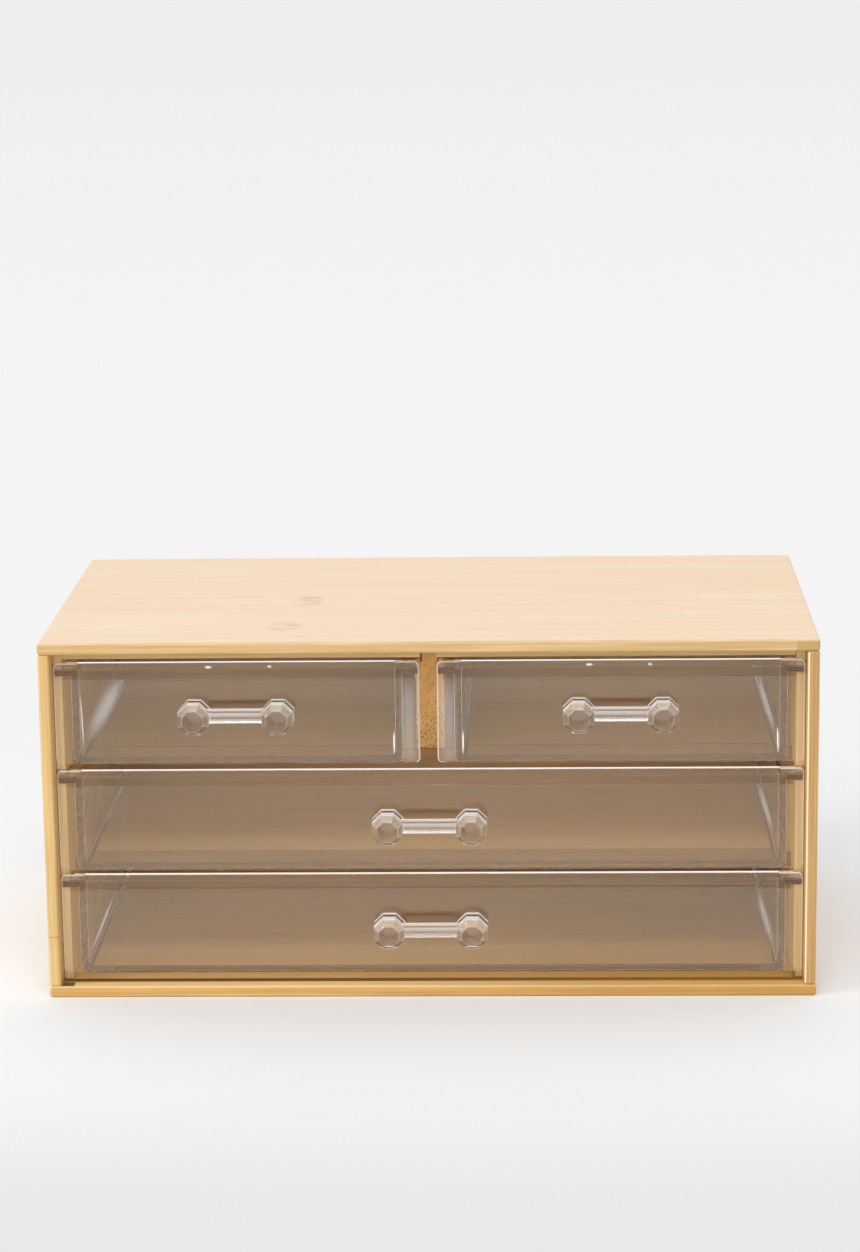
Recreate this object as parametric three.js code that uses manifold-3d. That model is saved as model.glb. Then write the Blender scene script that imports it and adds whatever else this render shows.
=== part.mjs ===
// Makeup drawer organizer: a bamboo case with four clear plastic drawers that hang on side runners.
// Millimetres, X to the right, Y to the back, Z up. The origin is under the middle of the whole object.

import * as THREE from "three";
import { ConvexGeometry } from "three/addons/geometries/ConvexGeometry.js";
import { mergeVertices } from "three/addons/utils/BufferGeometryUtils.js";
import Module from "manifold-3d";

const wasm = await Module();
wasm.setup();

// Case
const caseWidth = 320;
const caseDepth = 174;
const caseHeight = 152;
const boardThickness = 4.8;
const boardEase = 0.7;
const backThickness = 3;
const glueLine = 0.05;

// Shelves and divider, which stand back from the case's front
const shelfSetback = 31;
const housingDepth = 1.6;
const dividerThickness = 12;
const dividerWeb = 6.4;

// Runner strips on the case's sides, and the rails under its top
const runnerThickness = 4;
const runnerEase = 0.3;
const railHeight = 3.9;
const railDepth = 12;

// Where the drawer fronts sit in the case
const frontSetback = 7;
const sideClearance = 0.6;
const frontGap = 7.1;
const bottomGap = 3.6;
const lowerRowGap = 1.75;
const upperRowGap = 2.75;
const topGap = 4.85;
const rowCount = 3;

// Drawer front plates
const plateThickness = 2.5;
const plateRadius = 2;
const plateBevel = 0.5;
const plateBevelSteps = 2;
const cornerSteps = 4;

// Drawer trays
const floorThickness = 2.2;
const frontWall = 2;
const backWall = 2;
const sideWall = 3;
const trayRadius = 2.5;
const flangeWidth = 7.1;
const flangeThickness = 2;
const rimBandHeight = 3.8;
const rimBandDepth = 1.2;
const rearSpace = 21.5;
const trayLift = 0.3;

// Clearances of the moving drawers
const runningGap = 0.3;
const shelfClearance = 0.4;
const headroom = 0.5;

// Handles. The wide drawers carry theirs a little lower under the middle of the front
const bossBase = 13.2;
const bossShoulder = 12.6;
const bossTip = 8.6;
const shoulderReach = 9.8;
const bossReach = 12.6;
const bossSpacing = 34.6;
const bossSides = 8;
const barHeight = 5.8;
const barDepth = 4.8;
const barStandoff = 5;
const barFacet = 1.3;
const barRise = 1.3;
const smallHandleDrop = 0.6;
const wideHandleDrop = 2;

// One overrun serves every cut
const overrun = 1;

// Places that follow from the sizes above
const caseFront = -caseDepth / 2;
const caseBack = caseDepth / 2;
const innerSide = caseWidth / 2 - boardThickness;
const innerBack = caseBack - backThickness;
const topUnderside = caseHeight - boardThickness;
const plateFront = caseFront + frontSetback;
const plateBack = plateFront + plateThickness;
const runnerFront = plateBack + runningGap;
const shelfFront = caseFront + shelfSetback;
const rowGaps = lowerRowGap + upperRowGap;
const plateHeight = (topUnderside - boardThickness - bottomGap - rowGaps - topGap) / rowCount;
const rimDrop = boardThickness + shelfClearance - trayLift + headroom - Math.min(lowerRowGap, upperRowGap);
const trayHeight = plateHeight - rimDrop - trayLift;
const trayDepth = innerBack - rearSpace - plateBack - glueLine;
const widePlate = 2 * (innerSide - sideClearance);
const smallPlate = (widePlate - frontGap) / 2;

// Height of each row's drawer front above the ground, from the bottom up
const lowerRow = boardThickness + bottomGap;
const middleRow = lowerRow + plateHeight + lowerRowGap;
const upperRow = middleRow + plateHeight + upperRowGap;

const bamboo = new THREE.MeshStandardMaterial({ color: 0xe9c48d, roughness: 0.55, metalness: 0 });
const endGrain = new THREE.MeshStandardMaterial({ color: 0xcf9f62, roughness: 0.6, metalness: 0 });
const clearPlastic = new THREE.MeshStandardMaterial({
  color: 0xe6e4e2,
  roughness: 0.05,
  metalness: 0,
  transparent: true,
  opacity: 0.35,
});

// Solids

function toSolid(geometry) {
  const bare = geometry.clone();
  bare.deleteAttribute("normal");
  bare.deleteAttribute("uv");
  const merged = mergeVertices(bare);
  return new wasm.Manifold(new wasm.Mesh({
    numProp: 3,
    vertProperties: Float32Array.from(merged.attributes.position.array),
    triVerts: Uint32Array.from(merged.index.array),
  }));
}

function toGeometry(solid) {
  const mesh = solid.getMesh();
  const geometry = new THREE.BufferGeometry();
  geometry.setAttribute("position", new THREE.BufferAttribute(Float32Array.from(mesh.vertProperties), 3));
  geometry.setIndex(new THREE.BufferAttribute(Uint32Array.from(mesh.triVerts), 1));
  geometry.computeVertexNormals();
  return geometry;
}

// A box between two corners, all its edges eased by a small flat
function easedBox(low, high, ease) {
  const middle = new THREE.Vector3().addVectors(low, high).multiplyScalar(0.5);
  const half = new THREE.Vector3().subVectors(high, low).multiplyScalar(0.5);
  const points = [];
  for (const sx of [-1, 1]) {
    for (const sy of [-1, 1]) {
      for (const sz of [-1, 1]) {
        points.push(new THREE.Vector3(sx * half.x, sy * (half.y - ease), sz * (half.z - ease)));
        points.push(new THREE.Vector3(sx * (half.x - ease), sy * half.y, sz * (half.z - ease)));
        points.push(new THREE.Vector3(sx * (half.x - ease), sy * (half.y - ease), sz * half.z));
      }
    }
  }
  return new ConvexGeometry(points).translate(middle.x, middle.y, middle.z);
}

function plainBox(low, high) {
  const size = new THREE.Vector3().subVectors(high, low);
  const middle = new THREE.Vector3().addVectors(low, high).multiplyScalar(0.5);
  return new THREE.BoxGeometry(size.x, size.y, size.z).translate(middle.x, middle.y, middle.z);
}

function cut(geometry, cutters) {
  const solid = cutters.reduce((rest, cutter) => rest.subtract(toSolid(cutter)), toSolid(geometry));
  return toGeometry(solid);
}

function join(geometries) {
  const [first, ...others] = geometries.map(toSolid);
  return toGeometry(others.reduce((whole, other) => whole.add(other), first));
}

// An outline drawn in X and Z, pushed back along Y from the front plane y = 0
function pushedBack(outline, depth, bevel = 0) {
  const geometry = new THREE.ExtrudeGeometry(outline, {
    depth: depth - 2 * bevel,
    bevelEnabled: bevel > 0,
    bevelSize: bevel,
    bevelThickness: bevel,
    bevelOffset: -bevel,
    bevelSegments: plateBevelSteps,
    curveSegments: cornerSteps,
  });
  return geometry.rotateX(Math.PI / 2).translate(0, depth - bevel, 0);
}

function named(name, geometry, material) {
  const mesh = new THREE.Mesh(geometry, material.clone());
  mesh.name = name;
  return mesh;
}

const at = (x, y, z) => new THREE.Vector3(x, y, z);

// Case

// The top and bottom boards run the full width and depth, with the sides between them
function caseEnds() {
  const topLow = at(-caseWidth / 2, caseFront, topUnderside);
  const topHigh = at(caseWidth / 2, caseBack, caseHeight);
  const bottomLow = at(-caseWidth / 2, caseFront, 0);
  const bottomHigh = at(caseWidth / 2, caseBack, boardThickness);
  return [
    named("top_panel", easedBox(topLow, topHigh, boardEase), bamboo),
    named("bottom_panel", easedBox(bottomLow, bottomHigh, boardEase), bamboo),
  ];
}

// Each row above the lowest has a shelf under it, given by the height of its upper face
const shelfTops = {
  lower_shelf: middleRow + trayLift - shelfClearance,
  upper_shelf: upperRow + trayLift - shelfClearance,
};

function shelf(name) {
  const reach = innerSide + housingDepth - glueLine;
  const top = shelfTops[name];
  const low = at(-reach, shelfFront, top - boardThickness);
  const high = at(reach, innerBack - glueLine, top);
  return named(name, easedBox(low, high, runnerEase), bamboo);
}

// A side board, with a housing cut across its inner face for the end of each shelf
function sidePanel(name, side) {
  const faces = [side * innerSide, (side * caseWidth) / 2].sort((a, b) => a - b);
  const low = at(faces[0], caseFront, boardThickness + glueLine);
  const high = at(faces[1], caseBack, topUnderside - glueLine);
  const housingSides = [side * (innerSide - overrun), side * (innerSide + housingDepth)].sort((a, b) => a - b);
  const housings = Object.values(shelfTops).map((top) => plainBox(
    at(housingSides[0], shelfFront - glueLine, top - boardThickness - glueLine),
    at(housingSides[1], caseBack + overrun, top + glueLine),
  ));
  return named(name, cut(easedBox(low, high, boardEase), housings), bamboo);
}

function backPanel() {
  const low = at(-innerSide + glueLine, innerBack, boardThickness + glueLine);
  const high = at(innerSide - glueLine, caseBack, topUnderside - glueLine);
  return named("back_panel", easedBox(low, high, runnerEase), bamboo);
}

// The flanges of each row's drawers run between these two heights
const flangeTop = (row) => row + plateHeight - rimDrop;
const flangeUnderside = (row) => flangeTop(row) - flangeThickness;

// The divider stands on the upper shelf. Its narrower web leaves a ledge for a flange on either side
function divider() {
  const foot = shelfTops.upper_shelf + glueLine;
  const ledge = flangeUnderside(upperRow) - runningGap;
  const low = at(-dividerThickness / 2, shelfFront, foot);
  const high = at(dividerThickness / 2, innerBack - glueLine, topUnderside - glueLine);
  const rebates = [-1, 1].map((side) => {
    const across = [(side * dividerWeb) / 2, side * (dividerThickness / 2 + overrun)].sort((a, b) => a - b);
    return plainBox(
      at(across[0], shelfFront - overrun, ledge),
      at(across[1], caseBack, topUnderside + overrun),
    );
  });
  return named("center_divider", cut(easedBox(low, high, runnerEase), rebates), endGrain);
}

// A runner strip is glued to a side. A strip that passes a shelf is notched over it
function runner(name, side, bottom, top, shelfTop) {
  const across = [side * (innerSide - glueLine - runnerThickness), side * (innerSide - glueLine)].sort((a, b) => a - b);
  const low = at(across[0], runnerFront, bottom);
  const high = at(across[1], innerBack - glueLine, top);
  const strip = easedBox(low, high, runnerEase);
  if (shelfTop === undefined) {
    return named(name, strip, bamboo);
  }
  const notch = plainBox(
    at(across[0] - overrun, shelfFront - glueLine, bottom - overrun),
    at(across[1] + overrun, caseBack, shelfTop + glueLine),
  );
  return named(name, cut(strip, [notch]), bamboo);
}

function runners(sideName, side) {
  const { lower_shelf: lowerShelf, upper_shelf: upperShelf } = shelfTops;
  const seat = (row) => flangeUnderside(row) - runningGap;
  const underside = (shelfTop) => shelfTop - boardThickness;
  const capFoot = flangeTop(upperRow) + headroom;
  return [
    runner(`lower_runner_${sideName}`, side, boardThickness + glueLine, seat(lowerRow)),
    runner(`middle_runner_${sideName}`, side, underside(lowerShelf), seat(middleRow), lowerShelf),
    runner(`upper_runner_${sideName}`, side, underside(upperShelf), seat(upperRow), upperShelf),
    runner(`top_runner_${sideName}`, side, capFoot, topUnderside - glueLine),
  ];
}

// A rail under the top board, from the side's runner to the line of the divider's web
function rail(name, side) {
  const outer = side * (innerSide - runnerThickness - 2 * glueLine);
  const across = [outer, (side * dividerWeb) / 2].sort((a, b) => a - b);
  const low = at(across[0], runnerFront, topUnderside - glueLine - railHeight);
  const high = at(across[1], runnerFront + railDepth, topUnderside - glueLine);
  return named(name, easedBox(low, high, runnerEase), bamboo);
}

// Drawers, each drawn with its front face on y = 0, its middle on x = 0 and its lowest edge on z = 0

function roundedOutline(width, height, radius) {
  const half = width / 2;
  const outline = new THREE.Shape();
  outline.moveTo(-half + radius, 0);
  outline.lineTo(half - radius, 0);
  outline.absarc(half - radius, radius, radius, -Math.PI / 2, 0, false);
  outline.lineTo(half, height - radius);
  outline.absarc(half - radius, height - radius, radius, 0, Math.PI / 2, false);
  outline.lineTo(-half + radius, height);
  outline.absarc(-half + radius, height - radius, radius, Math.PI / 2, Math.PI, false);
  outline.lineTo(-half, radius);
  outline.absarc(-half + radius, radius, radius, Math.PI, 1.5 * Math.PI, false);
  return outline;
}

function frontPlate(width) {
  return pushedBack(roundedOutline(width, plateHeight, plateRadius), plateThickness, plateBevel);
}

// The tray's section: a trough with round lower corners and a flange out along each upper edge
function trayOutline(width) {
  const half = width / 2 - flangeWidth;
  const flangeFoot = trayHeight - flangeThickness;
  const outline = new THREE.Shape();
  outline.moveTo(-half + trayRadius, 0);
  outline.lineTo(half - trayRadius, 0);
  outline.absarc(half - trayRadius, trayRadius, trayRadius, -Math.PI / 2, 0, false);
  outline.lineTo(half, flangeFoot);
  outline.lineTo(width / 2, flangeFoot);
  outline.lineTo(width / 2, trayHeight);
  outline.lineTo(-width / 2, trayHeight);
  outline.lineTo(-width / 2, flangeFoot);
  outline.lineTo(-half, flangeFoot);
  outline.lineTo(-half, trayRadius);
  outline.absarc(-half + trayRadius, trayRadius, trayRadius, Math.PI, 1.5 * Math.PI, false);
  return outline;
}

function tray(width) {
  const innerHalf = width / 2 - flangeWidth - sideWall;
  const hollow = roundedOutline(2 * innerHalf, trayHeight + trayRadius + overrun - floorThickness, trayRadius);
  const bodyHollow = pushedBack(hollow, trayDepth - frontWall - backWall).translate(0, frontWall, floorThickness);
  const rimFoot = trayHeight - rimBandHeight;
  const rimBand = plainBox(
    at(-innerHalf - sideWall / 2, frontWall / 2, rimFoot),
    at(innerHalf + sideWall / 2, frontWall + rimBandDepth, trayHeight),
  );
  const trough = cut(pushedBack(trayOutline(width), trayDepth), [bodyHollow]);
  return join([trough, rimBand]);
}

// A ring of points with as many flats as sides, one of them on top, at the given distance in front
function bossRing(acrossFlats, distance) {
  const radius = acrossFlats / 2 / Math.cos(Math.PI / bossSides);
  return Array.from({ length: bossSides }, (_, index) => {
    const angle = ((index + 0.5) * 2 * Math.PI) / bossSides;
    return at(radius * Math.sin(angle), -distance, radius * Math.cos(angle));
  });
}

// A handle: two eight-sided bosses with chamfered ends, joined by a faceted bar clear of the plate
function handle() {
  const rings = [
    ...bossRing(bossBase, 0),
    ...bossRing(bossShoulder, shoulderReach),
    ...bossRing(bossTip, bossReach),
  ];
  const boss = new ConvexGeometry(rings);
  const bosses = [-1, 1].map((side) => boss.clone().translate((side * bossSpacing) / 2, 0, 0));
  const barLow = at(-bossSpacing / 2, -barStandoff - barDepth, barRise - barHeight / 2);
  const barHigh = at(bossSpacing / 2, -barStandoff, barRise + barHeight / 2);
  return join([...bosses, easedBox(barLow, barHigh, barFacet)]);
}

function drawer(name, middle, row, width, handleDrop) {
  const group = new THREE.Group();
  group.position.set(middle, plateFront, row);
  const trayMesh = named(`${name}_tray`, tray(width), clearPlastic);
  trayMesh.position.set(0, plateThickness + glueLine, trayLift);
  const handleMesh = named(`${name}_handle`, handle(), clearPlastic);
  handleMesh.position.set(0, -glueLine, plateHeight / 2 - handleDrop);
  group.add(named(`${name}_front`, frontPlate(width), clearPlastic), trayMesh, handleMesh);
  return group;
}

// The whole organizer

const organizer = new THREE.Group();
organizer.add(...caseEnds());
organizer.add(sidePanel("left_side_panel", -1), sidePanel("right_side_panel", 1), backPanel());
organizer.add(shelf("lower_shelf"), shelf("upper_shelf"), divider());
organizer.add(...runners("left", -1), ...runners("right", 1));
organizer.add(rail("top_rail_left", -1), rail("top_rail_right", 1));

const smallMiddle = (smallPlate + frontGap) / 2;
organizer.add(drawer("upper_left_drawer", -smallMiddle, upperRow, smallPlate, smallHandleDrop));
organizer.add(drawer("upper_right_drawer", smallMiddle, upperRow, smallPlate, smallHandleDrop));
organizer.add(drawer("middle_drawer", 0, middleRow, widePlate, wideHandleDrop));
organizer.add(drawer("lower_drawer", 0, lowerRow, widePlate, wideHandleDrop));

// The handles stand out before the case, and half of that puts the origin under the middle
organizer.position.y = (bossReach + glueLine - frontSetback) / 2;

export default organizer;
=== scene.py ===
"""Looks of a makeup drawer organizer: a bamboo case with clear plastic drawers, on a pale studio floor."""

import math

import bmesh
import bpy
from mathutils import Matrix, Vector


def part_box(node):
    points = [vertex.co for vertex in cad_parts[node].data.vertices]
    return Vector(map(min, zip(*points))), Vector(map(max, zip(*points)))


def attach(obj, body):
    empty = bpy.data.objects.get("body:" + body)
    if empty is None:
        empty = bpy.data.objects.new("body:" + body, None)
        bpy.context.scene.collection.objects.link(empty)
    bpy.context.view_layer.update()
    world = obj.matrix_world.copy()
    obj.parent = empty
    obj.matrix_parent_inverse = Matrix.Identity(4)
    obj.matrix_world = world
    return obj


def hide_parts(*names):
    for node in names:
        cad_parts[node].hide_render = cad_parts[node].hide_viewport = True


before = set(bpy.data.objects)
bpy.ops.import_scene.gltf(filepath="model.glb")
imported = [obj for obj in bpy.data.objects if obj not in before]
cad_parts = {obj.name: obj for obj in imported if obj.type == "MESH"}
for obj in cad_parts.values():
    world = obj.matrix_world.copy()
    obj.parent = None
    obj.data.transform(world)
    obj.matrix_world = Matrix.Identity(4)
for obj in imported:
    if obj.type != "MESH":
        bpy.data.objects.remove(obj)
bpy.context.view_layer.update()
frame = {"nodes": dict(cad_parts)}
scene = bpy.context.scene

# Camera, fitted to the corners of the case in the photograph. X and Z are places in the frame, and the
# distance is from the case's front
CAMERA_X = 0.0463
CAMERA_Z = 0.4559
CAMERA_DISTANCE = 1.3215
CAMERA_TURN_DEG = (77.331, 0.761, 1.775)
LENS_MM = 95.71
SENSOR_MM = 36.0
NEAREST_SEEN = 0.01
FARTHEST_SEEN = 200.0

# Light. Strengths are radiances, and 1 is white
WHITE = (1, 1, 1)
FILL = 0.78
KEY_PLACE = (-2.3, -1.15, 1.4)
KEY_SIZE = (1.1, 1.1)
KEY_POWER = 24.0
KEY_COLOR = (1.0, 0.98, 0.95)
FRONT_PLACE = (0.1, -1.9, 3.5)
FRONT_SIZE = (2.4, 0.5)
FRONT_POWER = 30.0
ROOM_PLACE = (0.05, -2.9, 0.75)
ROOM_SIZE = (2.4, 0.9)
ROOM_POWER = 21.0

# Floor, and the pale backdrop that it turns into behind the case and well before it. The blends and the
# span are places along Y
FLOOR_HALF = 40.0
FLOOR_COLOR = (0.845, 0.86, 0.872)
FLOOR_ROUGHNESS = 0.9
FLOOR_GLOSS = 0.1
BACKDROP_NEAR = (0.905, 0.905, 0.905)
BACKDROP_FAR = (0.85, 0.85, 0.85)
BACKDROP_BLEND = (0.05, 0.5)
BACKDROP_SPAN = (1.2, 7.0)
FOREGROUND = (0.815, 0.815, 0.815)
FOREGROUND_BLEND = (-0.1, -0.32)

ALONG_X, ALONG_Y, ALONG_Z = 0, 1, 2
QUARTER_TURN = math.radians(90)

# Edges. Faces within the flat angle are made one, and edges over the sharp one are rounded. An edge is
# upright when more than that share of it lies along Z, and level edges have a share of the rounding
WELD = 0.000001
FLAT_DEG = 0.5
SHARP_DEG = 28
UPRIGHT_SHARE = 0.9
BOARD_ROUND = 0.0003
PLASTIC_ROUND = 0.0004
LEVEL_SHARE = 0.3
HANDLE_ROUND = 0.0002
ROUND_STEPS = 2

# Front plates. The bright stretch of the top edge, a painted highlight, starts this far from its ends and at
# this ring of the rounding, and it throws light forward as if it were tilted. An edge that points further
# down than the downward limit is the plate's foot, which has no painted highlight on its rounding
PLATE_CORNER = 0.002
PLATE_EDGE = 0.0006
PLATE_CORNER_STEPS = 8
ARC_STEPS = 5
BRIGHT_FROM_END = 0.0101
BRIGHT_FROM_RING = 3
BRIGHT_TILT_DEG = 12.5
FACE_SLOT, EDGE_SLOT, BRIGHT_SLOT = 0, 1, 2
DOWNWARD = -0.99

# Bamboo in linear colours. The light outer skin of the top, and the golden wood of edges and insides
TOP_PALE = (0.845, 0.67, 0.485)
GOLDEN = (0.68, 0.47, 0.215)
BOTTOM_EDGE = (0.69, 0.42, 0.14)
# The side panels' front edges: the left one painted lighter and the right one darker, painted light and shade
# as from a lamp at the left
LIT_LEFT_EDGE = (0.78, 0.55, 0.235)
SHADED_RIGHT_EDGE = (0.54, 0.325, 0.12)
# The insides, painted lighter from near to far: painted light where little light reaches the back
INSIDE_NEAR = (0.75, 0.48, 0.18)
LIGHTENED_INSIDE_FAR = (0.98, 0.77, 0.32)
INSIDE_SPAN = (0.03, 0.15)
# The shelves' front edges, painted dark: painted shade behind the plates
SHADED_SHELF_EDGE = (0.30, 0.148, 0.043)
END_GRAIN = (0.68, 0.37, 0.11)
DEEP = (0.62, 0.36, 0.12)
PEACH = (0.86, 0.52, 0.30)
KNOT = (0.50, 0.29, 0.13)
# Painted shade and shadow, also the dark of a fine crack and of pores
SHADED = (0.13, 0.055, 0.012)
LAMINA = (0.43, 0.29, 0.10)
# Painted shade in slits and a chipped corner
SLIT_SHADE = (0.05, 0.02, 0.01)
# Painted light on a lit lip
LIT_PALE = (0.96, 0.70, 0.32)
# A painted highlight line
PAINTED_HIGHLIGHT_LINE = (1.0, 0.88, 0.58)
# Painted shade over part of a board
DEEPER_SHADE = (0.42, 0.19, 0.02)
BLOCK_SHADE = (0.24, 0.17, 0.13)
EDGE_DEPTH = (0.0008, 0.0018)
SKIN_DEPTH = (0.0002, 0.0006)

# Two joints of the cane in the top board, as places from the middle and the case front, with their half
# sizes and their shares
KNOTS = {"top_panel": (((-0.053, 0.080), (0.010, 0.014), 0.85), ((-0.060, 0.030), (0.010, 0.012), 0.6))}
KNOT_FADE = (0.2, 1)
KNOT_SPECK = 0.002
KNOT_STRETCH = 4
KNOT_SPAN = (0.40, 0.62)

# Marks on the boards, each a soft-edged box from the middle, the case front and the ground, its softness,
# its colour and its share. The bottom board has painted light on its front lip, a painted shadow of the
# plates in a line behind it, painted shade in a chipped corner and painted shade over its right half, the
# top board a peach strip at its back and another piece at the end of its front edge, the divider painted
# shade on its foot, the left side a fine crack, the right side a painted highlight on its inner corner, and
# the lower right runner painted shade in a slit at its foot
MARKS = {
    "bottom_panel": (
        ((-0.162, 0.0003, 0.003), (0.162, 0.0060, 0.006), 0.0004, LIT_PALE, 0.75),
        ((-0.155, 0.0064, 0.003), (0.155, 0.0105, 0.006), 0.0006, SHADED, 0.95),
        ((-0.1552, 0.0008, 0.003), (-0.1499, 0.0058, 0.006), 0.0004, SLIT_SHADE, 0.9),
        ((0.020, -0.300, -0.300), (0.500, 0.300, 0.300), 0.1, DEEPER_SHADE, 0.45),
    ),
    "top_panel": (
        ((-0.162, 0.1705, 0.149), (0.162, 0.176, 0.154), 0.0004, PEACH, 0.35),
        ((0.1505, -0.001, 0.146), (0.162, 0.001, 0.1515), 0.0003, LAMINA, 0.8),
    ),
    "center_divider": (((-0.02, -0.2, 0.08), (0.02, 0.2, 0.1085), 0.006, SHADED, 0.2),),
    "left_side_panel": (((-0.1605, -0.001, 0.0262), (-0.1552, 0.001, 0.0267), 0.0002, SHADED, 0.4),),
    "right_side_panel": (((0.1545, -0.001, 0.0), (0.1558, 0.001, 0.150), 0.0002, PAINTED_HIGHLIGHT_LINE, 0.9),),
    "lower_runner_right": (((0.150, 0.0, 0.004), (0.1521, 0.02, 0.0088), 0.0002, SLIT_SHADE, 0.7),),
}
BOARDS = ("top_panel", "bottom_panel")

# The grain. A pattern has a width across the fibres, is drawn out along them by its stretch, and comes in
# over a span of the noise. Each board takes its own piece of the noise by its seed
SEED_STEPS = (3.7, 1.9, 5.3)
FIRST_FREE_SEED = 10
FIBRE_WIDTH = 0.0006
FIBRE_STRETCH = 70.0
FIBRE_SPAN = (0.36, 0.62)
COARSE_WIDTH = 0.0024
COARSE_STRETCH = 35.0
COARSE_SPAN = (0.34, 0.60)
FIBRE_ROUGHNESS = 0.6
CLOUD_WIDTH = 0.012
CLOUD_STRETCH = 12
CLOUD_SPAN = (0.35, 0.70)
CLOUD_SHARE = 0.7
EDGE_STREAKED = 0.5
BEHIND_STREAKED = 0.3
DEEPENED_SHARES = (0.68, 0.58, 0.42)
SLAT_WIDTH = 0.019
SLAT_SHIFT_SHARE = 0.37
SLAT_SHARE = 0.14
# Pores of the end grain, their share falling with height so that the foot is darker as painted shade
PORE_WIDTH = 0.0009
PORE_SPAN = (0.54, 0.62)
PORE_HEIGHTS = (0.104, 0.128)
PORE_SHARES = (0.75, 0.2)
WOOD_ROUGHNESS = (0.5, 0.4)
ROUGHNESS_SPAN = (0.3, 0.7)
GRAIN_STRENGTH = 0.2
GRAIN_DEPTH = 0.0002

# Shade on the front ends of the runners, at their feet, over the ends of the flanges
OVER_FLANGE = ("middle_runner", "upper_runner", "top_runner")
BLOCK_REACH = 0.001
BLOCK_HEIGHT = 0.0023
BLOCK_SOFT = (0.0003, 0.0002)
BLOCK_SHARE = 0.75

# Clear plastic
CLEAR = (0.996, 0.994, 0.991)
CLEAREST = (0.985, 0.975, 0.97)
PLASTIC_IOR = 1.49
PLATE_IOR = 1.78
MIRRORED = (0.98, 0.80, 0.58)
TRAY_MIRRORED = (0.99, 0.885, 0.75)
HANDLE_IOR = 1.6
FOOT_IOR = 1.12
FOOT_FACING = (-0.5, -0.1)
PASSED = (0.99, 0.989, 0.987)
EDGE_ON_POWER = 6.0
# The white of painted highlights on the plastic
HIGHLIGHT_WHITE = (0.98, 0.975, 0.97)
PALE_ROUGHNESS = 0.15
# The share of a faint painted highlight on the rounded edges of the handles
HANDLE_HIGHLIGHT_SHARE = 0.25
EDGE_THROUGH = 0.55
EDGE_ROUGHNESS = 0.2
TOP_EDGE_ROUGHNESS = 0.12

# Ripples in the walls of the trays, per metre, and how strong they are on level walls and on those that
# face sideways
RIPPLES = (70, 30, 110)
RIPPLE_DEPTH = 0.001
RIPPLE_FACING = (0.5, 1)
RIPPLE_STRENGTHS = (0.03, 0.13)

# The weld of a plate to the rim band of its tray: half its depth, its height, and the depth of the rim
BOND_DEPTH = 0.0001
BOND_HEIGHT = 0.0038
RIM_DEPTH = 0.0032
BOND_SOFT = 0.00001
BAND_SOFT = 0.0001

# Painted highlights on the rounded upright edges of a tray, by the product of how far they face along X and
# along Y
CORNER_FACING = (0.1, 0.3)
CORNER_HIGHLIGHT = 0.8

# Painted highlights and a painted shade line on the handles, by where a facet faces, how far before the
# plate it lies and how high on the bar
HANDLE_SHADE_LINE = (0.03, 0.022, 0.02)
FACET_UP = (0.3, 0.6)
FACET_FORWARD = (-0.5, -0.2)
CHAMFER_SHINE = 0.12
FACET_SHINE = 0.92
OUTLINE_SHINE = 1.0
OUTLINE_DEPTHS = (0.0024, 0.0020)
BASE_DEPTHS = (0.0050, 0.0024)
BASE_SOFT = 0.0002
BAR_RISE = 0.0013
BAR_HALF = 0.0112
BAR_END = 0.0003
BAR_BAND = (-0.0004, 0.0008)
BAR_SHINE = 0.26
CREST_HEIGHTS = (0.0018, 0.0024)
CREST_SOFT = 0.0001

# Painted reflections on the plates, as pale streaks: the side that they are near, their start and end from
# the upper corner there (across, down), their half width and their strength. They fade in and out along their
# length and to both sides of it, by these shares
STREAK_START_SHARES = (0, 0.35)
STREAK_END_SHARES = (0.55, 1)
STREAK_SIDE_SHARES = (0.1, 1)
STREAKS = {
    "upper_left_drawer": ((-1, (0.0285, 0.0055), (0.0125, 0.0345), 0.0044, 0.12),
                          (-1, (0.0625, 0.0022), (0.0660, 0.0022), 0.0006, 0.8),
                          (-1, (0.0883, 0.0021), (0.0906, 0.0021), 0.0006, 0.6),
                          (-1, (0.0108, 0.0110), (0.0118, 0.0405), 0.0004, 0.35),
                          (1, (0.0108, 0.0290), (0.0108, 0.0405), 0.0004, 0.8),
                          (1, (0.0045, 0.0000), (0.0045, 0.0520), 0.0048, 0.10)),
    "upper_right_drawer": ((1, (0.0200, 0.0060), (0.0115, 0.0330), 0.0015, 0.12),
                           (1, (0.0900, 0.0019), (0.0866, 0.0019), 0.0006, 0.8),
                           (1, (0.0646, 0.0019), (0.0622, 0.0019), 0.0006, 0.5),
                           (-1, (0.0106, 0.0290), (0.0106, 0.0405), 0.0004, 0.7),
                           (1, (0.0112, 0.0280), (0.0108, 0.0405), 0.0004, 0.8),
                           (-1, (0.0045, 0.0000), (0.0045, 0.0520), 0.0048, 0.10)),
    "middle_drawer": ((1, (0.0190, 0.0060), (0.0120, 0.0300), 0.0014, 0.12),),
    "lower_drawer": ((1, (0.0190, 0.0080), (0.0115, 0.0340), 0.0018, 0.12),
                     (-1, (0.0225, 0.0080), (0.0105, 0.0365), 0.0008, 0.15)),
}


def camera(front):
    data = bpy.data.cameras.new("camera")
    data.lens = LENS_MM
    data.sensor_width = SENSOR_MM
    data.clip_start = NEAREST_SEEN
    data.clip_end = FARTHEST_SEEN
    body = bpy.data.objects.new("camera", data)
    body.location = (CAMERA_X, front - CAMERA_DISTANCE, CAMERA_Z)
    body.rotation_euler = [math.radians(turn) for turn in CAMERA_TURN_DEG]
    scene.collection.objects.link(body)
    scene.camera = body


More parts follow.
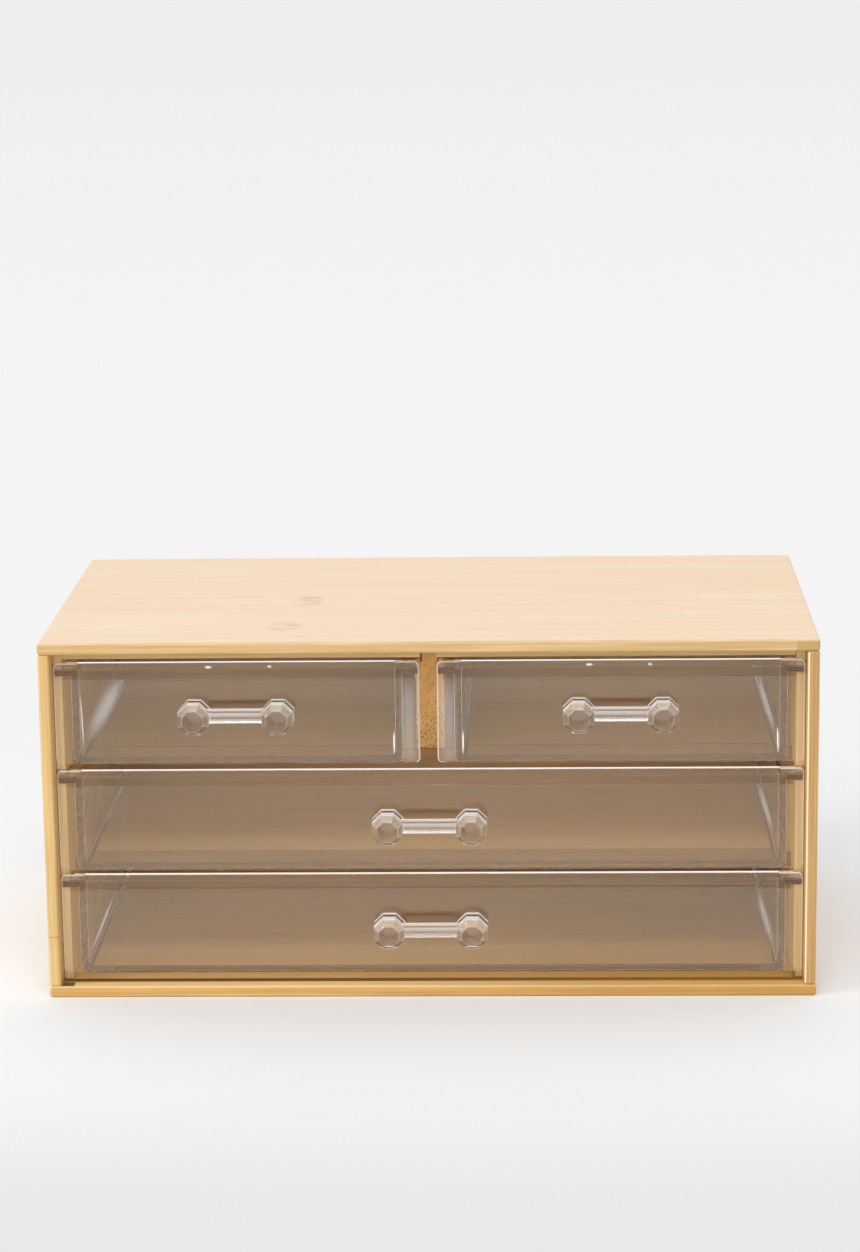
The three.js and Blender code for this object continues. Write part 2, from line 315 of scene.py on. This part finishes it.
def seen(tree):
    """1 on the rays that carry a picture of the surroundings: straight, mirrored or through glass."""
    path = tree.nodes.new("ShaderNodeLightPath")
    either = joined(tree, "MAXIMUM", path.outputs["Is Camera Ray"], path.outputs["Is Glossy Ray"])
    return joined(tree, "MAXIMUM", either, path.outputs["Is Transmission Ray"])


def area(name, place, size, power, color=WHITE, mirrored=True):
    light = bpy.data.lights.new(name, "AREA")
    light.shape = "RECTANGLE"
    light.size, light.size_y = size
    light.energy = power
    light.color = color
    lamp = bpy.data.objects.new(name, light)
    lamp.location = place
    lamp.rotation_mode = "QUATERNION"
    lamp.rotation_quaternion = Vector(place).to_track_quat("Z", "Y")
    lamp.visible_glossy = mirrored
    lamp.visible_transmission = mirrored
    scene.collection.objects.link(lamp)


def studio():
    world = bpy.data.worlds.new("studio")
    world.use_nodes = True
    tree = world.node_tree
    light = tree.nodes["Background"]
    light.inputs["Color"].default_value = (*WHITE, 1)
    tree.links.new(spread(tree, seen(tree), (0, 1), (FILL, 1.0)), light.inputs["Strength"])
    scene.world = world
    area("key", KEY_PLACE, KEY_SIZE, KEY_POWER, KEY_COLOR)
    area("front", FRONT_PLACE, FRONT_SIZE, FRONT_POWER)
    area("room", ROOM_PLACE, ROOM_SIZE, ROOM_POWER, mirrored=False)


def floor():
    mesh = bpy.data.meshes.new("floor")
    corners = [(-1, -1), (1, -1), (1, 1), (-1, 1)]
    mesh.from_pydata([(x * FLOOR_HALF, y * FLOOR_HALF, 0) for x, y in corners], [], [(0, 1, 2, 3)])
    ground = bpy.data.objects.new("floor", mesh)
    material, shader = plain_material("studio_paper")
    tree = material.node_tree
    shader.inputs["Base Color"].default_value = (*FLOOR_COLOR, 1)
    shader.inputs["Roughness"].default_value = FLOOR_ROUGHNESS
    shader.inputs["Specular IOR Level"].default_value = FLOOR_GLOSS
    back = place_parts(tree)[ALONG_Y]
    glow = tree.nodes.new("ShaderNodeEmission")
    behind = spread(tree, back, BACKDROP_BLEND, (0, 1), "SMOOTHSTEP")
    before = spread(tree, back, FOREGROUND_BLEND, (0, 1), "SMOOTHSTEP")
    far = mixed(tree, spread(tree, back, BACKDROP_SPAN, (0, 1)), BACKDROP_NEAR, BACKDROP_FAR)
    tree.links.new(mixed(tree, before, far, FOREGROUND), glow.inputs["Color"])
    share = joined(tree, "MULTIPLY", joined(tree, "MAXIMUM", behind, before), seen(tree))
    surface = blended(tree, share, shader.outputs["BSDF"], glow.outputs["Emission"])
    tree.links.new(surface, tree.nodes["Material Output"].inputs["Surface"])
    mesh.materials.append(material)
    scene.collection.objects.link(ground)


# Node helpers


def plain_material(name):
    material = bpy.data.materials.new(name)
    material.use_nodes = True
    return material, material.node_tree.nodes["Principled BSDF"]


def feed(tree, socket, value):
    """Links a socket to another one, or sets it to a number or a colour."""
    if isinstance(value, bpy.types.NodeSocket):
        tree.links.new(value, socket)
    elif isinstance(value, tuple) and socket.type == "RGBA":
        socket.default_value = (*value, 1)
    else:
        socket.default_value = value


def joined(tree, operation, *values):
    node = tree.nodes.new("ShaderNodeMath")
    node.operation = operation
    for socket, value in zip(node.inputs, values):
        feed(tree, socket, value)
    return node.outputs[0]


def spread(tree, value, source, target, kind="LINEAR"):
    """A value moved from one span to another, and held at its ends."""
    node = tree.nodes.new("ShaderNodeMapRange")
    node.interpolation_type = kind
    feed(tree, node.inputs["Value"], value)
    for name, number in zip(("From Min", "From Max", "To Min", "To Max"), (*source, *target)):
        node.inputs[name].default_value = number
    return node.outputs["Result"]


def mixed(tree, share, first, second):
    node = tree.nodes.new("ShaderNodeMix")
    node.data_type = "RGBA"
    for name, value in (("Factor_Float", share), ("A_Color", first), ("B_Color", second)):
        feed(tree, next(i for i in node.inputs if i.identifier == name), value)
    return next(o for o in node.outputs if o.identifier == "Result_Color")


def blended(tree, share, first, second):
    """Two surfaces in one, the second with its share."""
    node = tree.nodes.new("ShaderNodeMixShader")
    feed(tree, node.inputs["Fac"], share)
    tree.links.new(first, node.inputs[1])
    tree.links.new(second, node.inputs[2])
    return node.outputs["Shader"]


def within(tree, value, low, high, soft):
    """1 between two places along an axis, fading over a soft margin at both."""
    rise = spread(tree, value, (low - soft, low + soft), (0, 1), "SMOOTHSTEP")
    fall = spread(tree, value, (high - soft, high + soft), (1, 0), "SMOOTHSTEP")
    return joined(tree, "MULTIPLY", rise, fall)


def own_place(tree):
    return tree.nodes.new("ShaderNodeTexCoord").outputs["Object"]


def place_parts(tree):
    parts = tree.nodes.new("ShaderNodeSeparateXYZ")
    tree.links.new(own_place(tree), parts.inputs[0])
    return parts.outputs


def stretched(tree, scale, shift):
    """The object's own coordinates, scaled along each axis and moved, for a texture with a grain."""
    mapping = tree.nodes.new("ShaderNodeMapping")
    mapping.inputs["Scale"].default_value = scale
    mapping.inputs["Location"].default_value = shift
    tree.links.new(own_place(tree), mapping.inputs["Vector"])
    return mapping.outputs["Vector"]


def noise(tree, vector, detail=2, roughness=0.5):
    node = tree.nodes.new("ShaderNodeTexNoise")
    node.inputs["Scale"].default_value = 1.0
    node.inputs["Detail"].default_value = detail
    node.inputs["Roughness"].default_value = roughness
    tree.links.new(vector, node.inputs["Vector"])
    return node.outputs["Fac"]


def bumped(tree, shader, height, strength, distance):
    bump = tree.nodes.new("ShaderNodeBump")
    feed(tree, bump.inputs["Strength"], strength)
    bump.inputs["Distance"].default_value = distance
    tree.links.new(height, bump.inputs["Height"])
    tree.links.new(bump.outputs["Normal"], shader.inputs["Normal"])


# Materials


def grain_scale(axis, across, stretch):
    """How often a pattern repeats per metre along X, Y and Z, drawn out along the grain's axis."""
    return tuple(1 / (across * stretch) if index == axis else 1 / across for index in range(3))


def knot(tree, spot, reach, share, shift):
    """The mottled share of a joint of the cane round a spot on the top board."""
    scale = (1 / reach[0], 1 / reach[1], 0)
    centre = (spot[0], case_front + spot[1])
    local = stretched(tree, scale, (-centre[0] * scale[0], -centre[1] * scale[1], 0))
    length = tree.nodes.new("ShaderNodeVectorMath")
    length.operation = "LENGTH"
    tree.links.new(local, length.inputs[0])
    near = spread(tree, length.outputs["Value"], KNOT_FADE, (1, 0), "SMOOTHSTEP")
    mottled = noise(tree, stretched(tree, grain_scale(ALONG_X, KNOT_SPECK, KNOT_STRETCH), shift), detail=3)
    return joined(tree, "MULTIPLY", near, spread(tree, mottled, KNOT_SPAN, (0, share)))


def marked(tree, name, color):
    """The colour with the marks of one board on it."""
    parts = place_parts(tree)
    for low, high, soft, tone, share in MARKS.get(name, ()):
        inside = share
        for axis, start in ((ALONG_X, 0), (ALONG_Y, case_front), (ALONG_Z, 0)):
            side = within(tree, parts[axis], start + low[axis], start + high[axis], soft)
            inside = joined(tree, "MULTIPLY", side, inside)
        color = mixed(tree, inside, color, tone)
    return color


def pored(tree, color):
    """The colour with the dark pores of end grain, more of them towards the foot as painted shade."""
    dots = noise(tree, stretched(tree, (1 / PORE_WIDTH,) * 3, (0, 0, 0)), detail=1)
    low = spread(tree, place_parts(tree)[ALONG_Z], PORE_HEIGHTS, PORE_SHARES, "SMOOTHSTEP")
    return mixed(tree, joined(tree, "MULTIPLY", spread(tree, dots, PORE_SPAN, (0, 1)), low), color, SHADED)


def inner_color(tree, name, edge):
    """The colour behind a front edge, painted lighter towards the back as painted light where little light
    reaches. The ends of the outer boards have that of the edge."""
    parts = place_parts(tree)
    depths = tuple(case_front + depth for depth in INSIDE_SPAN)
    color = mixed(tree, spread(tree, parts[ALONG_Y], depths, (0, 1)), INSIDE_NEAR, LIGHTENED_INSIDE_FAR)
    if name in BOARDS:
        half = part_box(name)[1].x
        aside = joined(tree, "ABSOLUTE", parts[ALONG_X])
        ends = spread(tree, aside, (half - SKIN_DEPTH[1], half - SKIN_DEPTH[0]), (0, 1))
        color = mixed(tree, ends, color, edge)
    return color


def skinned(tree, name, axis, way):
    """The share of the pale outer skin, on the face of a board that looks one way along an axis."""
    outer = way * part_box(name)[max(way, 0)][axis]
    outward = joined(tree, "MULTIPLY", place_parts(tree)[axis], way)
    return spread(tree, outward, (outer - SKIN_DEPTH[1], outer - SKIN_DEPTH[0]), (0, 1))


def slat_share(tree, axis, seed):
    """A share that is the same all over each slat of a board, and differs from one to the next."""
    shift = seed + SLAT_SHIFT_SHARE
    number = joined(tree, "MULTIPLY_ADD", place_parts(tree)[axis], 1 / SLAT_WIDTH, shift)
    hue = tree.nodes.new("ShaderNodeTexWhiteNoise")
    hue.noise_dimensions = "1D"
    tree.links.new(joined(tree, "FLOOR", number), hue.inputs["W"])
    return spread(tree, hue.outputs["Value"], (0, 1), (0, SLAT_SHARE))


def end_shade(tree, name):
    """The share of shade on the front end of a runner, over the end of a flange."""
    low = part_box(name)[0]
    parts = place_parts(tree)
    on_front = within(tree, parts[ALONG_Y], low.y - BLOCK_REACH, low.y + BLOCK_REACH, BLOCK_SOFT[0])
    on_foot = within(tree, parts[ALONG_Z], low.z - BLOCK_REACH, low.z + BLOCK_HEIGHT, BLOCK_SOFT[1])
    return joined(tree, "MULTIPLY", joined(tree, "MULTIPLY", on_front, on_foot), BLOCK_SHARE)


def bamboo(name, axis, seed, edge=GOLDEN, inside=None, skin=None, slat_axis=None,
           streaked=BEHIND_STREAKED, pores=False):
    """Bamboo with its fibres along an axis. The edge colour is that of the front edge, and the inside one
    that of what lies behind it. The skin is the axis and the direction of the pale outer face, and the
    slat axis is the one across the slats. Streaked is the share of the darker fibres behind the edge."""
    material, shader = plain_material(name)
    tree = material.node_tree
    shift = tuple(seed * step for step in SEED_STEPS)
    edge_span = tuple(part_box(name)[0].y + depth for depth in EDGE_DEPTH)
    behind = spread(tree, place_parts(tree)[ALONG_Y], edge_span, (0, 1))
    color = mixed(tree, behind, edge, inside or inner_color(tree, name, edge))
    if skin is not None:
        color = mixed(tree, skinned(tree, name, *skin), color, TOP_PALE)
    for spot, reach, share in KNOTS.get(name, ()):
        color = mixed(tree, knot(tree, spot, reach, share, shift), color, KNOT)
    dark_share = spread(tree, behind, (0, 1), (EDGE_STREAKED, streaked))
    darker = tuple(tone * share for tone, share in zip(edge, DEEPENED_SHARES))
    deep = mixed(tree, behind, darker, DEEP)

    def patterned(width, stretch, detail=2, roughness=0.5):
        return noise(tree, stretched(tree, grain_scale(axis, width, stretch), shift), detail, roughness)

    def deepened(tone, strength):
        return mixed(tree, joined(tree, "MULTIPLY", strength, dark_share), tone, deep)

    clouds = patterned(CLOUD_WIDTH, CLOUD_STRETCH, detail=3)
    color = deepened(color, spread(tree, clouds, CLOUD_SPAN, (0, CLOUD_SHARE)))
    if slat_axis is not None:
        color = mixed(tree, slat_share(tree, slat_axis, seed), color, PEACH)
    fibres = patterned(FIBRE_WIDTH, FIBRE_STRETCH, roughness=FIBRE_ROUGHNESS)
    coarse = patterned(COARSE_WIDTH, COARSE_STRETCH, roughness=FIBRE_ROUGHNESS)
    color = deepened(color, spread(tree, fibres, FIBRE_SPAN, (1, 0)))
    color = deepened(color, spread(tree, coarse, COARSE_SPAN, (1, 0)))
    if pores:
        color = pored(tree, color)
    color = marked(tree, name, color)
    if name.startswith(OVER_FLANGE):
        color = mixed(tree, end_shade(tree, name), color, BLOCK_SHADE)
    tree.links.new(color, shader.inputs["Base Color"])
    tree.links.new(spread(tree, fibres, ROUGHNESS_SPAN, WOOD_ROUGHNESS), shader.inputs["Roughness"])
    bumped(tree, shader, fibres, GRAIN_STRENGTH, GRAIN_DEPTH)
    return material


def facing_parts(tree):
    """The direction that the surface faces, as its X, Y and Z."""
    parts = tree.nodes.new("ShaderNodeSeparateXYZ")
    tree.links.new(tree.nodes.new("ShaderNodeTexCoord").outputs["Normal"], parts.inputs[0])
    return parts.outputs


def welded(tree, depth, heights):
    """1 where a plate and its tray are one, over their shared band and on the top of the rim behind it."""
    parts = place_parts(tree)
    at_face = within(tree, parts[ALONG_Y], depth - BOND_DEPTH, depth + BOND_DEPTH, BOND_SOFT)
    on_band = within(tree, parts[ALONG_Z], *heights, BAND_SOFT)
    over_rim = within(tree, parts[ALONG_Y], depth, depth + RIM_DEPTH, BAND_SOFT)
    at_top = within(tree, parts[ALONG_Z], heights[1] - BOND_DEPTH, heights[1] + BOND_DEPTH, BOND_SOFT)
    return joined(tree, "MAXIMUM", joined(tree, "MULTIPLY", at_face, on_band),
                  joined(tree, "MULTIPLY", over_rim, at_top))


def rippled(tree, shader):
    """Waves in the walls, strong where they face sideways."""
    ripples = noise(tree, stretched(tree, RIPPLES, (0, 0, 0)))
    sideways = joined(tree, "ABSOLUTE", facing_parts(tree)[ALONG_X])
    bumped(tree, shader, ripples, spread(tree, sideways, RIPPLE_FACING, RIPPLE_STRENGTHS), RIPPLE_DEPTH)


def see_through(name, tint, ior, pale=None, bond=None, mirrored=WHITE, wavy=False):
    """Polished clear plastic that lets lamps and shaded light straight through. How it bends light is a
    number, or a function that builds one for each place. The pale function gives the share of the surface
    with a painted highlight, a pale white surface mixed in, and its colour there. The bond is the depth
    and the heights at which the piece is welded to the next one and has no surface, and mirrored is the
    tone of its reflections."""
    material, shader = plain_material(name)
    tree = material.node_tree
    shader.inputs["Base Color"].default_value = (*tint, 1)
    shader.inputs["Transmission Weight"].default_value = 1.0
    shader.inputs["Specular Tint"].default_value = (*mirrored, 1)
    shader.inputs["Roughness"].default_value = 0.0
    if bond is not None:
        ior = spread(tree, welded(tree, *bond), (0, 1), (ior, 1))
    feed(tree, shader.inputs["IOR"], ior(tree) if callable(ior) else ior)
    if wavy:
        rippled(tree, shader)
    surface = shader.outputs["BSDF"]
    # Painted highlights: a pale white surface mixed in by its share
    if pale is not None:
        share, color = pale(tree)
        white = tree.nodes.new("ShaderNodeBsdfPrincipled")
        white.inputs["Roughness"].default_value = PALE_ROUGHNESS
        feed(tree, white.inputs["Base Color"], color)
        surface = blended(tree, share, surface, white.outputs["BSDF"])
    slant = tree.nodes.new("ShaderNodeLayerWeight").outputs["Facing"]
    path = tree.nodes.new("ShaderNodeLightPath")
    edge_on = joined(tree, "POWER", slant, EDGE_ON_POWER)
    shaded = joined(tree, "MULTIPLY", edge_on, path.outputs["Is Shadow Ray"])
    through = tree.nodes.new("ShaderNodeBsdfTransparent")
    tree.links.new(mixed(tree, shaded, PASSED, (0, 0, 0)), through.inputs["Color"])
    plain = joined(tree, "MAXIMUM", path.outputs["Is Shadow Ray"], path.outputs["Is Diffuse Ray"])
    surface = blended(tree, plain, surface, through.outputs["BSDF"])
    tree.links.new(surface, tree.nodes["Material Output"].inputs["Surface"])
    return material


def faceted(tree):
    """The lower facets of a handle bend the light less, so that they hardly show."""
    return spread(tree, facing_parts(tree)[ALONG_Z], FOOT_FACING, (FOOT_IOR, HANDLE_IOR))


def faint_edge_highlight(tree):
    """A faint painted highlight all along the rounded edges of a handle."""
    return HANDLE_HIGHLIGHT_SHARE, HIGHLIGHT_WHITE


def painted_corner_highlights(tree):
    """Painted highlights on the rounded upright edges of a tray."""
    x, y, _ = facing_parts(tree)
    corner = joined(tree, "ABSOLUTE", joined(tree, "MULTIPLY", x, y))
    return spread(tree, corner, CORNER_FACING, (0, CORNER_HIGHLIGHT)), HIGHLIGHT_WHITE


def painted_facet_highlights(name):
    """Painted highlights on the upper facets of a handle, less so on its chamfers and the upper half of its
    bar.
    A painted shade line runs round the bosses near the plate and along the top of the bar."""
    low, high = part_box(name)
    middle = (low + high) / 2
    bar_z = middle.z + BAR_RISE

    def pale(tree):
        _, forward, up = facing_parts(tree)
        parts = place_parts(tree)
        upward = spread(tree, up, FACET_UP, (0, 1))
        by_slope = spread(tree, forward, FACET_FORWARD, (CHAMFER_SHINE, FACET_SHINE))
        facets = joined(tree, "MULTIPLY", upward, by_slope)
        aside = joined(tree, "ABSOLUTE", joined(tree, "SUBTRACT", parts[ALONG_X], middle.x))
        on_bar = spread(tree, aside, (BAR_HALF - BAR_END, BAR_HALF), (1, 0))
        band = spread(tree, parts[ALONG_Z], tuple(bar_z + rise for rise in BAR_BAND), (0, BAR_SHINE))
        depths = tuple(high.y - depth for depth in OUTLINE_DEPTHS)
        near_plate = spread(tree, parts[ALONG_Y], depths, (0, OUTLINE_SHINE))
        outline = joined(tree, "MULTIPLY", near_plate, upward)
        share = joined(tree, "MAXIMUM", facets, joined(tree, "MULTIPLY", on_bar, band))
        share = joined(tree, "MAXIMUM", share, outline)
        base = within(tree, parts[ALONG_Y], *(high.y - depth for depth in BASE_DEPTHS), BASE_SOFT)
        top = within(tree, parts[ALONG_Z], *(bar_z + height for height in CREST_HEIGHTS), CREST_SOFT)
        dark = joined(tree, "MAXIMUM", base, joined(tree, "MULTIPLY", on_bar, top))
        return share, mixed(tree, dark, HIGHLIGHT_WHITE, HANDLE_SHADE_LINE)

    return pale


def stroke(tree, start, end, half_width):
    """The share of a soft streak between two places on the face of a plate, given as X and Z."""
    reach = Vector(end) - Vector(start)
    mapping = tree.nodes.new("ShaderNodeMapping")
    mapping.vector_type = "TEXTURE"
    mapping.inputs["Location"].default_value = (start[0], 0, start[1])
    mapping.inputs["Rotation"].default_value = (0, math.atan2(-reach.y, reach.x), 0)
    mapping.inputs["Scale"].default_value = (reach.length, 1, half_width)
    tree.links.new(own_place(tree), mapping.inputs["Vector"])
    parts = tree.nodes.new("ShaderNodeSeparateXYZ")
    tree.links.new(mapping.outputs["Vector"], parts.inputs[0])
    along, _, aside = parts.outputs
    starts = spread(tree, along, STREAK_START_SHARES, (0, 1), "SMOOTHSTEP")
    ends = spread(tree, along, STREAK_END_SHARES, (1, 0), "SMOOTHSTEP")
    across = spread(tree, joined(tree, "ABSOLUTE", aside), STREAK_SIDE_SHARES, (1, 0), "SMOOTHSTEP")
    return joined(tree, "MULTIPLY", joined(tree, "MULTIPLY", starts, ends), across)


def streaks(name):
    """Painted soft reflections on the plate of a drawer."""
    low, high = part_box(f"{name}_front")

    def pale(tree):
        share = 0.0
        for side, start, end, half_width, strength in STREAKS[name]:
            edge = low.x if side < 0 else high.x
            places = [(edge - side * across, high.z - down) for across, down in (start, end)]
            soft = joined(tree, "MULTIPLY", stroke(tree, *places, half_width), strength)
            share = joined(tree, "MAXIMUM", soft, share)
        return share, HIGHLIGHT_WHITE

    return pale


def plate_edge_highlight():
    """The rounded edges of the plates, pale white as a painted highlight."""
    material, shader = plain_material("plastic_edge")
    shader.inputs["Base Color"].default_value = (*HIGHLIGHT_WHITE, 1)
    shader.inputs["Transmission Weight"].default_value = EDGE_THROUGH
    shader.inputs["IOR"].default_value = PLASTIC_IOR
    shader.inputs["Roughness"].default_value = EDGE_ROUGHNESS
    return material


def top_edge_highlight():
    """The upper edge of a plate, a white mirror that throws the light of the room forward as a painted
    highlight.
    """
    material, shader = plain_material("plastic_top_edge")
    shader.inputs["Base Color"].default_value = (*HIGHLIGHT_WHITE, 1)
    shader.inputs["Metallic"].default_value = 1.0
    shader.inputs["Roughness"].default_value = TOP_EDGE_ROUGHNESS
    return material


# The CAD nodes with their finish


def round_edges(obj, width, slot=-1, by="ANGLE"):
    bevel = obj.modifiers.new("round", "BEVEL")
    bevel.material = slot
    bevel.width = width
    bevel.segments = ROUND_STEPS
    bevel.limit_method = by
    bevel.angle_limit = math.radians(SHARP_DEG)
    bevel.harden_normals = True


def dress(name, material, width):
    """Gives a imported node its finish, welds its split corners and rounds its sharp edges."""
    node = frame["nodes"][name]
    node.data.materials.clear()
    node.data.materials.append(material)
    node.data.shade_flat()
    node.modifiers.new("weld", "WELD").merge_threshold = WELD
    round_edges(node, width)


def placed(name, mesh, body):
    """A clear piece of the scene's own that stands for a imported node."""
    obj = bpy.data.objects.new(f"{name}_fine", mesh)
    scene.collection.objects.link(obj)
    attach(obj, body)
    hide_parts(name)
    return obj


def cleaned(name, materials, level_share):
    """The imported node's shape with its flat faces made whole, so that edges round and shade well. Its sharp
    edges carry how far they are rounded, the level ones by a share."""
    mesh = bpy.data.meshes.new(f"{name}_fine")
    shape = bmesh.new()
    shape.from_mesh(frame["nodes"][name].data)
    bmesh.ops.remove_doubles(shape, verts=shape.verts, dist=WELD)
    flat = math.radians(FLAT_DEG)
    bmesh.ops.dissolve_limit(shape, angle_limit=flat, verts=shape.verts, edges=shape.edges)
    for face in shape.faces:
        face.smooth = True
    weight = shape.edges.layers.float.new("bevel_weight_edge")
    for edge in shape.edges:
        start, end = edge.verts
        upright = abs((start.co - end.co).normalized().z) > UPRIGHT_SHARE
        if edge.calc_face_angle(0) > math.radians(SHARP_DEG):
            edge[weight] = 1 if upright else level_share
    for layer in list(shape.loops.layers.uv.values()):
        shape.loops.layers.uv.remove(layer)
    shape.to_mesh(mesh)
    shape.free()
    custom_normals = mesh.attributes.get("custom_normal")
    if custom_normals is not None:
        mesh.attributes.remove(custom_normals)
    for material in materials:
        mesh.materials.append(material)
    return mesh


def plate_outline(half):
    """The middles of the corners' arcs with the directions out of them, from the right side round the top,
    and the number of the first of two more points, which bound the bright stretch of the top edge."""
    outline = []
    for corner in range(4):
        sign = Vector((1 if corner in (0, 3) else -1, 1 if corner < 2 else -1))
        centre = Vector((sign.x * (half.x - PLATE_CORNER), sign.y * (half.y - PLATE_CORNER)))
        for step in range(PLATE_CORNER_STEPS + 1):
            turn = QUARTER_TURN * (corner + step / PLATE_CORNER_STEPS)
            outline.append((centre, Vector((math.cos(turn), math.sin(turn)))))
        if corner == 0:
            bright = len(outline)
            for side in (1, -1):
                outline.append((Vector((side * (half.x - BRIGHT_FROM_END), centre.y)), Vector((0, 1))))
    return outline, bright


def plate_profile(face, back):
    """The rings of a plate's rounded edge from its face to its back: how far each is inset, its depth, and
    how far its normal points out of the outline and along Y."""
    profile = []
    for way, start in ((-1, face), (1, back)):
        arc = []
        for step in range(ARC_STEPS + 1):
            turn = QUARTER_TURN * step / ARC_STEPS
            outward, along = math.sin(turn), math.cos(turn)
            arc.append((1 - outward, start - way * PLATE_EDGE * (1 - along), outward, way * along))
        profile.extend(arc if way < 0 else reversed(arc))
    return profile


def front_plate(name, materials):
    """A flat plate with round corners, its outline rounded towards both faces, each point with its own
    normal. The materials are those of its faces, its rounded edges and the bright stretch, the last two
    painted highlights."""
    low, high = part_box(name)
    half = Vector(((high.x - low.x) / 2, (high.z - low.z) / 2))
    middle = Vector(((high.x + low.x) / 2, (high.z + low.z) / 2))
    outline, bright = plate_outline(half)
    profile = plate_profile(low.y, high.y)
    points, normals, faces, slots = [], [], [], []
    for inset, depth, outward, along in profile:
        for centre, out in outline:
            flat = middle + centre + out * (PLATE_CORNER - PLATE_EDGE * inset)
            points.append((flat.x, depth, flat.y))
            normals.append((out.x * outward, along, out.y * outward))
    count = len(outline)
    for ring in range(len(profile) - 1):
        for step in range(count):
            after = (step + 1) % count
            here, there = ring * count + step, ring * count + after
            faces.append((here, here + count, there + count, there))
            foot = outline[step][1].y < DOWNWARD and outline[after][1].y < DOWNWARD
            if step == bright:
                slots.append(BRIGHT_SLOT if ring >= BRIGHT_FROM_RING else FACE_SLOT)
            else:
                slots.append(EDGE_SLOT if ring < ARC_STEPS and not foot else FACE_SLOT)
    faces.append(tuple(range(count)))
    faces.append(tuple(reversed(range((len(profile) - 1) * count, len(profile) * count))))
    slots += [FACE_SLOT, FACE_SLOT]
    mesh = bpy.data.meshes.new(f"{name}_fine")
    mesh.from_pydata(points, [], faces)
    for material in materials:
        mesh.materials.append(material)
    mesh.polygons.foreach_set("material_index", slots)
    mesh.polygons.foreach_set("use_smooth", [True] * len(faces))
    tilt = math.radians(BRIGHT_TILT_DEG)
    forward = (0, -math.cos(tilt), math.sin(tilt))
    corners = []
    for face, slot in zip(faces, slots):
        corners.extend(forward if slot == BRIGHT_SLOT else normals[point] for point in face)
    mesh.normals_split_custom_set(corners)
    return mesh


def clear_piece(name, body, materials, width, level_share=1):
    """A clear piece with its edges rounded by a width, the level ones by a share of it. The rounded edges
    take the last of the materials."""
    obj = placed(name, cleaned(name, materials, level_share), body)
    round_edges(obj, width, len(materials) - 1, "WEIGHT")


def dress_case():
    for seed, name in enumerate(frame["nodes"], start=FIRST_FREE_SEED):
        if not name.startswith(DRAWERS):
            strip = {"axis": ALONG_X if "rail" in name else ALONG_Z, "seed": seed}
            dress(name, bamboo(name, **WOOD.get(name, strip)), BOARD_ROUND)


def dress_drawer(drawer):
    """The plate, the tray and the handle of one drawer."""
    front, tray, handle = f"{drawer}_front", f"{drawer}_tray", f"{drawer}_handle"
    tray_low, tray_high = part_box(tray)
    bond = (tray_low.y, (tray_high.z - BOND_HEIGHT, tray_high.z))
    # The plate carries painted reflections as pale streaks
    plate_plastic = see_through(f"{drawer}_plate_plastic", CLEAR, PLATE_IOR, pale=streaks(drawer),
                                bond=bond, mirrored=MIRRORED)
    tray_plastic = see_through(f"{drawer}_tray_plastic", CLEAR, PLASTIC_IOR, bond=bond,
                               mirrored=TRAY_MIRRORED, wavy=True)
    # The handle's plastic carries painted highlights and a painted shade line
    handle_plastic = see_through(f"{drawer}_handle_plastic", CLEAREST, faceted, pale=painted_facet_highlights(handle))
    placed(front, front_plate(front, (plate_plastic, edge_plastic, top_edge_plastic)), drawer)
    clear_piece(tray, drawer, (tray_plastic, tray_edge_plastic), PLASTIC_ROUND, LEVEL_SHARE)
    clear_piece(handle, drawer, (handle_plastic, handle_highlight_plastic), HANDLE_ROUND)


WOOD = {
    "top_panel": {"axis": ALONG_X, "seed": 1, "skin": (ALONG_Z, 1), "slat_axis": ALONG_Y, "streaked": 0.15},
    "bottom_panel": {"axis": ALONG_X, "seed": 2, "edge": BOTTOM_EDGE},
    # The side panels' front edges carry painted light on the left and painted shade on the right
    "left_side_panel": {"axis": ALONG_Z, "seed": 3, "edge": LIT_LEFT_EDGE, "skin": (ALONG_X, -1),
                        "slat_axis": ALONG_Y, "streaked": 0.2},
    "right_side_panel": {"axis": ALONG_Z, "seed": 4, "edge": SHADED_RIGHT_EDGE, "skin": (ALONG_X, 1),
                         "slat_axis": ALONG_Y, "streaked": 0.2},
    "back_panel": {"axis": ALONG_X, "seed": 5, "skin": (ALONG_Y, 1), "slat_axis": ALONG_Z, "streaked": 0.2},
    # The shelves' front edges carry painted shade
    "lower_shelf": {"axis": ALONG_X, "seed": 6, "edge": SHADED_SHELF_EDGE},
    "upper_shelf": {"axis": ALONG_X, "seed": 7, "edge": SHADED_SHELF_EDGE},
    "center_divider": {"axis": ALONG_Y, "seed": 8, "edge": END_GRAIN, "inside": END_GRAIN, "pores": True},
}
DRAWERS = ("upper_left_drawer", "upper_right_drawer", "middle_drawer", "lower_drawer")

case_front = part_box("top_panel")[0].y
camera(case_front)
studio()
floor()
# Plastic for the trays' rounded edges, with painted highlights on the upright corners
tray_edge_plastic = see_through("tray_edge_plastic", CLEAR, PLASTIC_IOR, pale=painted_corner_highlights)
# Plastic for the rounded edges of the handles, with a faint painted highlight
handle_highlight_plastic = see_through("handle_highlight_plastic", CLEAREST, HANDLE_IOR, pale=faint_edge_highlight)
# The plates' rounded edges and top edge, white as painted highlights
edge_plastic = plate_edge_highlight()
top_edge_plastic = top_edge_highlight()
dress_case()
for drawer in DRAWERS:
    dress_drawer(drawer)

scene.view_settings.view_transform = "Standard"
scene.cycles.max_bounces = 32
scene.cycles.diffuse_bounces = 8
scene.cycles.glossy_bounces = 28
scene.cycles.transmission_bounces = 28
scene.cycles.transparent_max_bounces = 64
